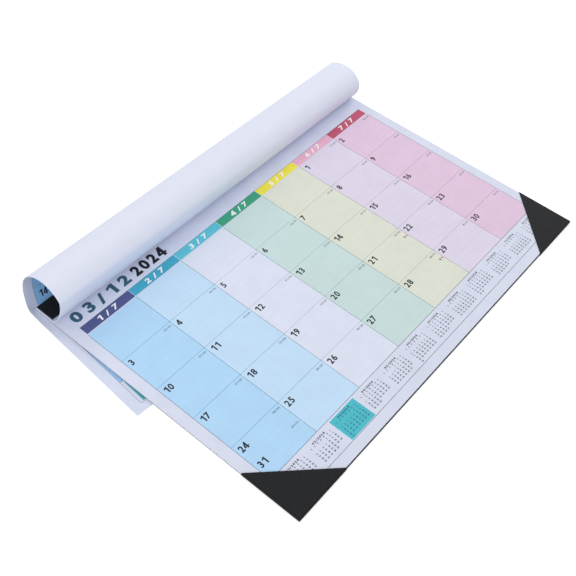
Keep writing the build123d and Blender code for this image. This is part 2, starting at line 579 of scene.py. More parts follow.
@dataclass(frozen=True)
class CellInkFinish(PaperFinish):
    """Print whose colour follows its place on the page, here a column's tinted cells."""

    layout: PageLayout = PageLayout()
    rules: CellRules = CellRules()

    def places(self, graph: Graph) -> tuple[Socket, Socket]:
        """Millimetres across and down the page, from Object coordinates."""
        x, y, _ = graph.axes(graph.place)
        return (graph.maths("MULTIPLY_ADD", x, 1 / MM, self.layout.width / 2),
                graph.maths("MULTIPLY_ADD", y, -1 / MM, self.layout.height / 2))

    def by_weekday(self, graph: Graph, across: Socket, colours: list[Colour]) -> Socket:
        """The colour of the column that a point across the page is in."""
        share = graph.spread(across, 0, 1, self.layout.side_margin, self.layout.right)
        return graph.steps(share, colours)

    def build(self) -> Material:
        """Builds the material.

        Returns:
            The cells' tint, with the faint writing lines in a darker tone.
        """
        graph = self.start()
        ruled = self.rules.mask(graph, self.places(graph)[1], self.layout)
        return graph.set(Base_Color=graph.mix(ruled, self.mottled(graph),
                                              tinted(self.colour, self.rules.shade)))


@dataclass(frozen=True)
class LineInkFinish(CellInkFinish):
    """Ink of the lines: dark below the cells, grey down the page, in each hue across it.

    The line above the cells is as pale as the paper. The upright lines are read a little
    wider than they are, by their reach, so that their sides are in their colour too.
    """

    foot_colour: Colour = linear(30, 34, 46)
    head_colour: Colour = linear(214, 217, 230)
    upright_reach: float = 1.05

    def build(self) -> Material:
        """Builds the material.

        Returns:
            The ink. The hues and the dark foot show only away from the upright lines.
        """
        graph, page = self.start(), self.layout
        across, down = self.places(graph)
        top, bottom = page.grid_top + page.line, page.grid_bottom - page.line
        away = graph.without(graph.lines(across, page.side_margin, page.column,
                                         page.line * self.upright_reach))
        foot = graph.both(graph.maths("GREATER_THAN", down, bottom), away)
        row = graph.both(graph.band(down, top, bottom), away)
        hues = self.by_weekday(graph, across, [day.rule for day in Weekday])
        tone = graph.mix(foot, self.mottled(graph), self.foot_colour)
        tone = graph.mix(row, tone, hues)
        above = graph.maths("LESS_THAN", down, top)
        return graph.set(Base_Color=graph.mix(above, tone, self.head_colour))


@dataclass(frozen=True)
class PrintedPageFinish(CellInkFinish):
    """A whole printed page on one surface, read from the sheet's own page map.

    The map's first value runs from 0 to 1 across the page and its second down it. The
    cells and the panel are printed darker than on the top page: painted shade for the
    loop's hollow and the tucked corner.
    """

    month: int = 1
    line_colour: Colour = linear(118, 126, 160)
    # Darker than the top page's panel: painted shade.
    panel_colour: Colour = linear(62, 166, 180)
    # Darkens each column's cells: painted shade in the loop's hollow and on the tucked corner.
    cell_depth: Colour = (0.66, 0.80, 0.90)

    def places(self, graph: Graph) -> tuple[Socket, Socket]:
        """Millimetres across and down the page, from the page map."""
        across, down, _ = graph.axes(graph.add("UVMap", uv_map="page").outputs[0])
        return (graph.maths("MULTIPLY", across, self.layout.width),
                graph.maths("MULTIPLY", down, self.layout.height))

    def ruled(self, graph: Graph, across: Socket, down: Socket) -> Socket:
        """Gives 1 on the page's lines.

        Args:
            graph: The tree to add to.
            across: Millimetres across the page.
            down: Millimetres down it.

        Returns:
            The mask: rows and uprights within the grid, the two sides down to the foot of
            the strip of months, and the line along that foot.
        """
        page, half = self.layout, self.layout.line / 2
        crossed = graph.maths("MAXIMUM", graph.lines(down, page.grid_top, page.row, page.line),
                              graph.lines(across, page.side_margin, page.column, page.line))
        grid = graph.both(crossed, graph.band(down, page.grid_top - half,
                                              page.grid_bottom + half))
        sides = graph.both(graph.lines(across, page.side_margin,
                                       page.right - page.side_margin, page.line),
                           graph.band(down, page.grid_top - half, page.strip_bottom + half))
        foot = graph.band(down, page.strip_bottom - half, page.strip_bottom + half)
        lines = graph.maths("MAXIMUM", grid, graph.maths("MAXIMUM", sides, foot))
        return graph.both(lines, graph.band(across, page.side_margin - half, page.right + half))

    def build(self) -> Material:
        """Builds the material.

        Returns:
            The page, on which bands of the map's two values choose each field's colour.
        """
        graph, page = self.start(), self.layout
        across, down = self.places(graph)
        inside = graph.band(across, page.side_margin, page.right)
        in_cells = graph.both(inside, graph.band(down, page.grid_top, page.grid_bottom))
        # The cells' inks darkened by painted shade.
        cells = [tuple(np.multiply(day.cells, self.cell_depth)) for day in Weekday]
        tone = graph.mix(in_cells, self.mottled(graph), self.by_weekday(graph, across, cells))
        written = graph.both(in_cells, self.rules.mask(graph, down, page), 1 - self.rules.shade)
        tone = graph.mix(written, tone, (0.0, 0.0, 0.0))
        gaps = graph.lines(across, page.side_margin, page.column, page.header_spacing)
        in_bars = graph.both(inside, graph.band(down, page.header_top, page.header_bottom),
                             graph.without(gaps))
        bars = self.by_weekday(graph, across, [day.header for day in Weekday])
        left = page.month_left(self.month) - page.panel_border
        top = page.grid_bottom + page.panel_drop
        panel = graph.both(
            graph.band(across, left, left + page.month_width + 2 * page.panel_border),
            graph.band(down, top, top + page.panel_height))
        tone = graph.mix(panel, graph.mix(in_bars, tone, bars), self.panel_colour)
        return graph.set(Base_Color=graph.mix(self.ruled(graph, across, down), tone,
                                              self.line_colour))


def mesh_piece(name: str, points: np.ndarray, faces: np.ndarray, materials: list[Material],
               smooth: bool = False, slots: np.ndarray | None = None) -> Piece:
    """Makes a piece from points and faces, which foreach_set puts into its mesh.

    Args:
        name: The piece's name.
        points: An array of places, one row each, in metres.
        faces: An array of point numbers, one row for each face.
        materials: The piece's materials.
        smooth: Whether the faces are shaded smooth.
        slots: Which material each face has, or None where there is one.

    Returns:
        The new object, with its place in its mesh.
    """
    mesh = bpy.data.meshes.new(name)
    mesh.vertices.add(len(points))
    mesh.vertices.foreach_set("co", points.astype(np.float32).ravel())
    mesh.loops.add(faces.size)
    mesh.loops.foreach_set("vertex_index", faces.astype(np.int32).ravel())
    mesh.polygons.add(len(faces))
    starts = np.arange(0, faces.size, faces.shape[1], dtype=np.int32)
    mesh.polygons.foreach_set("loop_start", starts)
    mesh.polygons.foreach_set("use_smooth", np.full(len(faces), smooth))
    for material in materials:
        mesh.materials.append(material)
    if slots is not None:
        mesh.polygons.foreach_set("material_index", slots.astype(np.int32))
    mesh.update(calc_edges=True)
    mesh.validate()
    piece = bpy.data.objects.new(name, mesh)
    bpy.context.scene.collection.objects.link(piece)
    return piece


def grid_faces(rows: int, columns: int) -> np.ndarray:
    """Quads of a grid of points that is numbered row by row.

    Args:
        rows: Rows of points.
        columns: Columns of points.

    Returns:
        One row of four point numbers for each quad.
    """
    first = (np.arange(rows - 1)[:, None] * columns + np.arange(columns - 1)).ravel()
    return np.stack((first, first + 1, first + columns + 1, first + columns), axis=1)


def divided(points: np.ndarray, faces: np.ndarray,
            longest: float) -> tuple[np.ndarray, np.ndarray]:
    """Divides triangles in four until no side is longer than a length.

    Args:
        points: Points of a flat figure.
        faces: Its triangles.
        longest: The longest side that may stay.

    Returns:
        New points and triangles. Each side's middle is shared by both of its triangles.
    """
    while True:
        sides = np.sort(np.concatenate((faces[:, [0, 1]], faces[:, [1, 2]], faces[:, [2, 0]])))
        lengths = np.linalg.norm(points[sides[:, 0]] - points[sides[:, 1]], axis=1)
        if lengths.max() <= longest:
            return points, faces
        single, which = np.unique(sides, axis=0, return_inverse=True)
        first, second, third = which.reshape(3, -1) + len(points)
        a, b, c = faces.T
        points = np.concatenate((points, points[single].mean(axis=1)))
        faces = np.concatenate([np.stack(corners, axis=1) for corners in (
            (a, first, third), (first, b, second), (third, second, c), (first, second, third))])


@dataclass(frozen=True)
class LoopEnd:
    """The loop's shape at one end: reaches and rises are shares of the crest's height.

    The turns are the degrees that the first of each quarter's two arcs turns, and the
    setback is how far the crest stands in front of the pad's far edge.
    """

    crest_height: float
    bulge_reach: float
    bulge_rise: float
    back_reach: float
    back_rise: float
    turns: tuple[float, ...]
    setback: float


@dataclass
class PageLoop:
    """The surface of the turned pages, from the bound edge round the loop to the free edge.

    Each quarter turn of the loop is two tangent arcs, and the surface between the ends is
    straight along each ruling, from a step on one end to the same step on the other.
    """

    layout: PageLayout = PageLayout()
    left: LoopEnd = LoopEnd(50.2, 0.320, 0.751, 0.252, 0.429, (49.4, 37.5, 34.4, 27.2), 16.4)
    right: LoopEnd = LoopEnd(36.1, 0.346, 0.548, 0.216, 0.781, (45, 45, 30, 22), 11.9)
    strip_width: float = 20.5
    bound_height: float = 2.8
    desk_height: float = 0.2
    return_gap: float = 1.0
    crest_creep: float = 2.0
    desk_creep: float = 5.67
    creep_power: float = 0.5
    curl_height: float = 1.4
    curl_length: float = 10.0
    curl_width: float = 6.5
    arc_steps: int = 14
    tail_power: float = 1.8

    def __post_init__(self) -> None:
        """Works out both end lines, as X, Y, Z, heading and run, and the turn of the tail."""
        self.top = self.layout.height / 2
        self.edge = self.top - self.strip_width
        left, right = self.end_line(self.left), self.end_line(self.right)
        self.skew = math.atan2(left[-1, -1] - right[-1, -1], self.layout.width)
        half = self.layout.width / 2
        foot = -half - self.desk_creep
        far_foot = foot + self.layout.width / math.cos(self.skew)
        self.ends = np.array([[self.lean(left[1], -half, foot), *left],
                              [self.lean(right[1], half, far_foot), *right]])

    def radii(self, ahead: float, aside: float, turn: float) -> tuple[float, float]:
        """Radii of two tangent arcs that turn a right angle between them.

        Args:
            ahead: Length that they cover along the direction they set off in.
            aside: Length that they cover across it.
            turn: Degrees that the first arc turns.

        Returns:
            The two radii, from the two equations for the lengths ahead and aside.
        """
        sine, cosine = math.sin(math.radians(turn)), math.cos(math.radians(turn))
        share = sine + cosine - 1
        first = (cosine * ahead - (1 - sine) * aside) / share
        second = (sine * aside - (1 - cosine) * ahead) / share
        return first, second

    def end_line(self, end: LoopEnd) -> np.ndarray:
        """Places, headings and lengths run along the loop at one end.

        Along an arc of radius r that turns clockwise from heading h by an angle a, the
        place moves by r (sin h - sin(h - a)) in Y and r (cos(h - a) - cos h) in Z.

        Args:
            end: The loop's shape at that end.

        Returns:
            Rows of Y, Z, heading and length run, one column for each step.
        """
        crest = end.crest_height
        bulge, bulge_height = end.bulge_reach * crest, end.bulge_rise * crest
        back_y, back_height = self.top + end.back_reach * crest, end.back_rise * crest
        crest_y, bulge_y = self.top - end.setback, self.edge - bulge
        quarters = (
            (bulge, bulge_height - self.bound_height),
            (crest - bulge_height, crest_y - bulge_y),
            (back_y - crest_y, crest - back_height),
            (back_height - self.desk_height, back_y - self.top - self.return_gap),
        )
        line = np.array([[self.edge], [self.bound_height], [math.pi], [0.0]])
        for (ahead, aside), turn in zip(quarters, end.turns):
            for radius, angle in zip(self.radii(ahead, aside, turn), (turn, 90 - turn)):
                y, z, start, run = line[:, -1]
                turned = np.radians(angle) * np.arange(1, self.arc_steps + 1) / self.arc_steps
                arc = np.stack((y + radius * (math.sin(start) - np.sin(start - turned)),
                                z + radius * (np.cos(start - turned) - math.cos(start)),
                                start - turned, run + radius * turned))
                line = np.concatenate((line, arc), axis=1)
        return line

    def lean(self, heights: np.ndarray, start: float, foot: float) -> np.ndarray:
        """X along an end, which creeps with the height: to the crest, and then to the foot.

        Args:
            heights: Z along the end.
            start: X at the bound edge.
            foot: X where the end comes down on the desk.

        Returns:
            X along the end. Past the crest the creep follows a power of the height left, so
            most of it comes late.
        """
        peak = int(np.argmax(heights))
        rising = (heights - self.bound_height) / (heights[peak] - self.bound_height)
        falling = (heights - self.desk_height) / (heights[peak] - self.desk_height)
        crest = start + self.crest_creep
        return np.where(np.arange(len(heights)) <= peak, start + self.crest_creep * rising,
                        foot + (crest - foot) * np.clip(falling, 0, 1) ** self.creep_power)

    def place(self, across: np.ndarray, down: np.ndarray, lift: np.ndarray | float) -> np.ndarray:
        """Where points of the page lie, in metres.

        Each point's length run past the strip's edge is looked up between the steps of the
        two end lines, blended by how far across the page it is. Before the edge the page is
        flat under the strip, and after the loop it is flat on the desk, turned by the skew.
        Where the left edge comes down on the desk it curls up a little, by a bell curve of
        the distance from there that fades with the square of the distance from the edge.

        Args:
            across: Millimetres from the page's left edge.
            down: Millimetres from the page's top edge.
            lift: Millimetres from the sheet's middle, outwards from the loop.

        Returns:
            One row of X, Y and Z for each point.
        """
        share = across / self.layout.width
        weights = np.stack((1 - share, share))
        run = down - self.strip_width
        runs = weights.T @ self.ends[:, -1]
        step = np.clip((runs < run[:, None]).sum(axis=1), 1, runs.shape[1] - 1)
        point = np.arange(len(step))
        before, after = runs[point, step - 1], runs[point, step]
        part = np.clip((run - before) / (after - before), 0, 1)
        lower, upper = self.ends[:, :, step - 1], self.ends[:, :, step]
        x, y, z, heading, _ = (weights[:, None] * (lower + part * (upper - lower))).sum(axis=0)
        past = run - runs[:, -1]
        beyond = np.clip(past, 0, None)
        fade = np.clip(1 - across / self.curl_width, 0, 1) ** 2
        curl = self.curl_height * fade * np.exp(-(past / self.curl_length) ** 2)
        x = x - beyond * math.sin(self.skew)
        y = y - beyond * math.cos(self.skew) + np.clip(-run, 0, None) - lift * np.sin(heading)
        z = z + curl + lift * np.cos(heading)
        return np.stack((x, y, z), axis=1) * MM

    def rows(self, share: np.ndarray, tail_steps: int) -> np.ndarray:
        """Lengths down the page of a grid's rows, which follow the loop's rulings.

        Args:
            share: How far across the page each column of the grid is, from 0 to 1.
            tail_steps: Rows on the flat tail.

        Returns:
            Millimetres down the page, one row for each ruling and one column for each share.
        """
        runs = self.strip_width + self.ends[:, -1].T @ np.stack((1 - share, share))
        parts = np.linspace(0, 1, tail_steps + 1)[1:, None] ** self.tail_power
        tail = runs[-1] + parts * (self.layout.height - runs[-1])
        return np.concatenate((np.zeros((1, len(share))), runs, tail))


@dataclass(frozen=True)
class FigureStyle:
    """How a run of figures is set, in millimetres.

    The figures stand a pitch apart, or spread over a span with equal gaps between them.
    """

    ink: Ink
    height: float
    anchor: Anchor = Anchor.LEFT
    stretch: float = 1.0
    pitch: float | None = None
    span: float | None = None
    slant: float = 0.0


class Setting(Enum):
    """How each kind of number on a page is set."""

    TITLE = FigureStyle(Ink.TEAL, 12.6, stretch=1.4, span=68.5)
    YEAR = FigureStyle(Ink.YEAR, 12.6, stretch=1.12, span=41.0)
    BAR = FigureStyle(Ink.WHITE, 6.0, Anchor.MIDDLE, 1.55, span=23.0, slant=0.18)
    DATE = FigureStyle(Ink.BLACK, 6.8, stretch=1.03, pitch=4.9)
    COUNT = FigureStyle(Ink.GREY, 2.1, Anchor.RIGHT, 0.72, pitch=1.24)
    STROKE = FigureStyle(Ink.BLACK, 2.3, Anchor.MIDDLE, 2.3)
    SMALL_TITLE = FigureStyle(Ink.FINE, 2.0, Anchor.MIDDLE, 1.4, span=15.5)
    SMALL_WEEKDAY = FigureStyle(Ink.FINE, 1.55, Anchor.MIDDLE)
    SMALL_DATE = FigureStyle(Ink.FINE, 1.55, Anchor.MIDDLE, 0.95)


@dataclass(frozen=True)
class NumberMark:
    """A run of figures on a page, at its anchor's place across and its foot's place down."""

    text: str
    across: float
    down: float
    style: FigureStyle


@dataclass
class Figures:
    """Outlines of the figures 0 to 9 and the stroke, one unit high, each centred across."""

    bold: float
    narrow: float = 0.9
    outline_steps: int = 3
    stem: float = 0.14
    spacing: float = 1.16

    def __post_init__(self) -> None:
        """Takes the figures from Blender's own font, and draws the 1 and the 4 anew."""
        unit = float(np.ptp(self.measure("0", 1.0)[0][:, 1]))
        self.outlines = {sign: self.measure(sign, unit) for sign in "02356789/"}
        self.outlines["1"] = self.one(self.stem + self.bold)
        self.outlines["4"] = self.four(self.stem + self.bold)
        self.advance = self.spacing * float(np.ptp(self.outlines["0"][0][:, 0]))

    def measure(self, sign: str, unit: float) -> tuple[np.ndarray, np.ndarray]:
        """Makes a mesh of a figure.

        Args:
            sign: The figure.
            unit: The height that becomes one unit.

        Returns:
            Its points and its triangles, which face up where their turn is to the left.
        """
        curve = bpy.data.curves.new("figure", "FONT")
        curve.body, curve.offset, curve.resolution_u = sign, self.bold / 2, self.outline_steps
        holder = bpy.data.objects.new("figure", curve)
        bpy.context.scene.collection.objects.link(holder)
        bpy.context.view_layer.update()
        mesh = bpy.data.meshes.new_from_object(
            holder.evaluated_get(bpy.context.evaluated_depsgraph_get()))
        mesh.calc_loop_triangles()
        places = np.zeros(len(mesh.vertices) * 3)
        mesh.vertices.foreach_get("co", places)
        corners = np.zeros(len(mesh.loop_triangles) * 3, dtype=np.int32)
        mesh.loop_triangles.foreach_get("vertices", corners)
        points, faces = places.reshape(-1, 3)[:, :2] / unit, corners.reshape(-1, 3)
        first, second = (points[faces[:, corner]] - points[faces[:, 0]] for corner in (1, 2))
        turned = first[:, 0] * second[:, 1] - first[:, 1] * second[:, 0] < 0
        faces[turned] = faces[turned][:, ::-1]
        points[:, 0] -= (points[:, 0].max() + points[:, 0].min()) / 2
        points[:, 0] *= self.narrow
        if sign != "/":
            points[:, 1] -= points[:, 1].min()
        bpy.data.objects.remove(holder)
        bpy.data.curves.remove(curve)
        bpy.data.meshes.remove(mesh)
        return points, faces

    def one(self, stem: float) -> tuple[np.ndarray, np.ndarray]:
        """Outline of a 1 as an upright stem and the flag on its left.

        Args:
            stem: The stem's width.

        Returns:
            Seven points and five triangles.
        """
        right = 0.14 + stem / 2
        left = right - stem
        points = np.array([(left, 0), (right, 0), (right, 1), (left + 0.04, 1), (left, 0.74),
                           (left - 0.25, 0.82), (left - 0.25, 0.62)])
        faces = np.array([(0, 1, 2), (0, 2, 3), (0, 3, 4), (3, 5, 6), (3, 6, 4)])
        return points, faces

    def four(self, stem: float) -> tuple[np.ndarray, np.ndarray]:
        """Outline of a 4 as a stem, a bar on both its sides and a slope.

        Args:
            stem: The stem's width.

        Returns:
            Fourteen points and eight triangles.
        """
        right, low, tip, far = 0.08 + 0.6 * stem, 0.2, -0.34, 0.34
        left, high = right - stem, low + 0.75 * stem
        inner = tip + 1.05 * stem
        rise = high + (left - inner) * (1 - high) / (left - tip)
        points = np.array([(left, 0), (right, 0), (right, 1), (left, 1),
                           (tip, low), (left, low), (left, high), (tip, high),
                           (right, low), (far, low), (far, high), (right, high),
                           (inner, high), (left, rise)])
        faces = np.array([(0, 1, 2), (0, 2, 3), (4, 5, 6), (4, 6, 7), (8, 9, 10), (8, 10, 11),
                          (7, 12, 13), (7, 13, 3)])
        return points, faces

    def middles(self, mark: NumberMark) -> np.ndarray:
        """Where each figure of a run has its middle.

        Args:
            mark: The run.

        Returns:
            Millimetres across. The figures stand a pitch apart from the mark's place, less
            its anchor's share of the run, or fill a span with equal gaps between them.
        """
        style, count = mark.style, len(mark.text)
        scale = style.height * style.stretch
        if style.span is None:
            pitch = style.pitch or self.advance * scale
            return mark.across + pitch * (np.arange(count) + 0.5 - style.anchor.value * count)
        columns = [self.outlines[sign][0][:, 0] for sign in mark.text]
        sides = np.array([(column.min(), column.max()) for column in columns]) * scale
        widths = np.ptp(sides, axis=1)
        gap = (style.span - widths.sum()) / (count - 1)
        start = mark.across - style.anchor.value * style.span
        return start + np.cumsum(widths + gap) - gap - widths / 2 - sides.mean(axis=1)

    def lay(self, marks: list[NumberMark]) -> tuple[np.ndarray, np.ndarray]:
        """Lays runs of figures on the page.

        Each figure's outline is leant by its slant, scaled by the mark's height and moved
        to its own middle. Down the page is against the outline's own height.

        Args:
            marks: The runs to lay.

        Returns:
            Points as across and down in millimetres, and triangles.
        """
        points, faces, count = [], [], 0
        for mark in marks:
            style = mark.style
            for middle, sign in zip(self.middles(mark), mark.text):
                outline, triangles = self.outlines[sign]
                across = outline[:, 0] * style.stretch + style.slant * (outline[:, 1] - 0.5)
                points.append(np.stack((middle + across * style.height,
                                        mark.down - outline[:, 1] * style.height), axis=1))
                faces.append(triangles + count)
                count += len(outline)
        return np.concatenate(points), np.concatenate(faces)


class FigurePress:
    """Prints runs of figures as thin meshes."""

    def __init__(self) -> None:
        """Cuts the figures in each weight and mixes each ink."""
        self.weights = {bold: Figures(bold) for bold in sorted({ink.bold for ink in Ink})}
        self.materials = {
            ink: PaperFinish(f"ink_{ink.name.lower()}", linear(*ink.value[0]),
                             roughness=0.5).build()
            for ink in Ink}

    def pieces(self, stem: str, marks: list[NumberMark],
               place: Callable[[np.ndarray], np.ndarray],
               longest: float = math.inf) -> dict[Ink, Piece]:
        """Makes a piece of each ink that some runs use.

        Args:
            stem: What the pieces' names begin with.
            marks: The runs.
            place: Puts points of the page, in millimetres, in their place in metres.
            longest: The longest side that a triangle may have, in millimetres.

        Returns:
            The pieces by their inks.
        """
        pieces = {}
        for ink in Ink:
            own = [mark for mark in marks if mark.style.ink is ink]
            if own:
                points, faces = divided(*self.weights[ink.bold].lay(own), longest)
                pieces[ink] = mesh_piece(f"{stem}_{ink.label}", place(points), faces,
                                         [self.materials[ink]])
        return pieces


@dataclass
class MonthNumbers:
    """All the figures of one printed page: its title, dates, day counts and small months.

    An inset is from a side, and a base is how far down a run's foot stands: the title's on
    the page, a cell's figures' from the cell's top, and the small ones' from the grid.
    """

    month: int
    year: int = 2024
    layout: PageLayout = PageLayout()
    marked: tuple[int, ...] = ()
    title_base: float = 39.5
    title_inset: float = 1.2
    year_inset: float = 75.6
    date_inset: float = 2.7
    date_base: float = 10.1
    shared_drop: float = 20.7
    count_inset: float = 2.1
    count_base: float = 4.7
    stroke_base: float = 13.2
    dark_inset: float = 5.8
    red_inset: float = 2.7
    small_title_base: float = 5.7
    small_rows_base: float = 8.05
    small_row_pitch: float = 2.97
    small_column_pitch: float = 4.08

    def span(self, month: int) -> tuple[int, int]:
        """Column of a month's first day, with Sunday as column 0, and its number of days."""
        weekday, days = calendar.monthrange(self.year, month)
        return (weekday + 1) % 7, days

    def cell(self, day: int) -> tuple[float, float]:
        """Where a day's cell begins.

        Args:
            day: The day of the month.

        Returns:
            Its left side and its top. A day past the last row shares the cell above it and
            stands lower in it.
        """
        page = self.layout
        row, column = divmod(day - 1 + self.span(self.month)[0], page.columns)
        top = page.grid_top + min(row, page.rows - 1) * page.row
        return (page.side_margin + column * page.column,
                top + self.shared_drop if row >= page.rows else top)

    def title(self) -> list[NumberMark]:
        """The page's title.

        Returns:
            The month's number in teal and the year in black.
        """
        left = self.layout.side_margin
        return [NumberMark(f"{self.month:02d}/12", left + self.title_inset, self.title_base,
                           Setting.TITLE.value),
                NumberMark(str(self.year), left + self.year_inset, self.title_base,
                           Setting.YEAR.value)]

    def bars(self) -> list[NumberMark]:
        """The weekdays' numbers.

        Returns:
            A white number in the middle of each header bar.
        """
        page, style = self.layout, Setting.BAR.value
        base = (page.header_top + page.header_bottom + style.height) / 2
        return [NumberMark(f"{number + 1}/7", page.side_margin + (number + 0.5) * page.column,
                           base, style)
                for number in range(page.columns)]

    def dates(self) -> list[NumberMark]:
        """The dates in their cells, and the year's day counts in the cells' far corners.

        Returns:
            A date and a count for each day: days up to it, and days left after it.
        """
        marks, lengths = [], [self.span(month)[1] for month in range(1, 13)]
        passed, whole = sum(lengths[:self.month - 1]), sum(lengths)
        for day in range(1, lengths[self.month - 1] + 1):
            left, top = self.cell(day)
            count = passed + day
            marks.append(NumberMark(str(day), left + self.date_inset, top + self.date_base,
                                    Setting.DATE.value))
            marks.append(NumberMark(f"{count:03d}/{whole - count:03d}",
                                    left + self.layout.column - self.count_inset,
                                    top + self.count_base, Setting.COUNT.value))
        return marks

    def strokes(self) -> list[NumberMark]:
        """A dark and a red stroke at the right of each marked day's cell.

        Returns:
            Two marks for each marked day.
        """
        marks = []
        for day in self.marked:
            left, top = self.cell(day)
            marks += [NumberMark("1", left + self.layout.column - inset, top + self.stroke_base,
                                 replace(Setting.STROKE.value, ink=ink))
                      for inset, ink in ((self.dark_inset, Ink.BLACK), (self.red_inset, Ink.RED))]
        return marks

    def small_months(self) -> list[NumberMark]:
        """The year's twelve small months along the bottom.

        Returns:
            Each month's title, weekdays and dates, in black for the page's own month.
        """
        page, pitch, marks = self.layout, self.small_column_pitch, []
        for month in range(1, 13):
            ink = Ink.BLACK if month == self.month else Ink.FINE
            title, weekday, date = (
                replace(kind.value, ink=ink)
                for kind in (Setting.SMALL_TITLE, Setting.SMALL_WEEKDAY, Setting.SMALL_DATE))
            middle = page.month_left(month) + page.month_width / 2
            marks.append(NumberMark(f"{month:02d}/{self.year}", middle,
                                    page.grid_bottom + self.small_title_base, title))
            left, base = middle - 3 * pitch, page.grid_bottom + self.small_rows_base
            marks += [NumberMark(str(column + 1), left + column * pitch, base, weekday)
                      for column in range(7)]
            first, days = self.span(month)
            for day in range(1, days + 1):
                row, column = divmod(day - 1 + first, 7)
                marks.append(NumberMark(str(day), left + column * pitch,
                                        base + (row + 1) * self.small_row_pitch, date))
        return marks


def dress(node: Piece, material: Material) -> None:
    """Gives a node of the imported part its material, and says so.

    Args:
        node: The node.
        material: Its only material.
    """
    node.data.materials.clear()
    node.data.materials.append(material)
    log.info("dressed %s in %s", node.name, material.name)


def finished(piece: Piece, slot: str, *replaced: str) -> None:
    """Hands a piece over to the frame.

    Args:
        piece: The finished piece.
        slot: Not used.
        replaced: Nodes of the part that it stands for.
    """
    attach(piece, "root")
    if replaced:
        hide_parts(*replaced)
    log.info("made %s: %d faces", piece.name, len(piece.data.polygons))


@dataclass
class TopPage:
    """The page on top: its printed fields, which the part has, and the figures on them."""

    layout: PageLayout = PageLayout()
    paper: Colour = linear(217, 222, 240)
    panel: Colour = linear(74, 188, 204)
    lines: Colour = linear(70, 80, 98)
    rule: Colour = linear(92, 104, 136)
    field_top: float = 2.65
    rule_thickness: float = 0.05
    ink_lift: float = 0.03

    def flat(self, points: np.ndarray, height: float) -> np.ndarray:
        """Puts points of the page on the pad.

        Args:
            points: Millimetres across and down the page.
            height: Millimetres up from the desk.

        Returns:
            Places in metres: across is X from the left edge, and down is -Y.
        """
        x = points[:, 0] - self.layout.width / 2
        y = self.layout.height / 2 - points[:, 1]
        return np.stack((x, y, np.full(len(points), height)), axis=1) * MM

    def dress_fields(self) -> None:
        """Gives the block of pages and each printed field its own material."""
        nodes = frame["nodes"]
        dress(nodes["page_block"], PageBlockFinish("pages", self.paper).build())
        for day in Weekday:
            name = day.name.lower()
            dress(nodes[f"print_column_{name}"],
                  CellInkFinish(f"ink_{name}_cells", day.cells, mottle=0.025,
                                layout=self.layout).build())
            dress(nodes[f"print_header_{name}"],
                  PaperFinish(f"ink_{name}_bar", day.header, mottle=0.05, roughness=0.52).build())
        dress(nodes["print_grid_lines"],
              LineInkFinish("ink_lines", self.lines, layout=self.layout).build())
        dress(nodes["print_month_panel"], PaperFinish("ink_panel", self.panel, 0.04).build())

    def header_rule(self) -> Piece:
        """A thin ruled line along the top of the header bars.

        Returns:
            A closed bar, as wide as the grid.
        """
        page = self.layout
        left, right, low = page.side_margin, page.right, page.header_top
        high = low - page.line
        corners = np.array([(left, low), (right, low), (right, high), (left, high)])
        points = np.concatenate((self.flat(corners, self.field_top - self.rule_thickness),
                                 self.flat(corners, self.field_top)))
        faces = np.array([(0, 3, 2, 1), (4, 5, 6, 7), (0, 1, 5, 4), (1, 2, 6, 5), (2, 3, 7, 6),
                          (3, 0, 4, 7)])
        return mesh_piece("header_rule", points, faces,
                          [PaperFinish("ink_rule", self.rule, 0.04).build()])

    def build(self, numbers: MonthNumbers, press: FigurePress) -> None:
        """Dresses the fields and prints the figures on them.

        Args:
            numbers: The page's figures.
            press: What prints them.
        """
        self.dress_fields()
        finished(self.header_rule(), "print_grid_lines")
        marks = (numbers.title() + numbers.bars() + numbers.dates() + numbers.strokes()
                 + numbers.small_months())
        height = self.field_top + self.ink_lift
        pieces = press.pieces("figures", marks, lambda points: self.flat(points, height))
        small_months = pieces.pop(Ink.FINE)
        for piece in pieces.values():
            finished(piece, "page_block")
        finished(small_months, "print_small_months", "print_small_months")


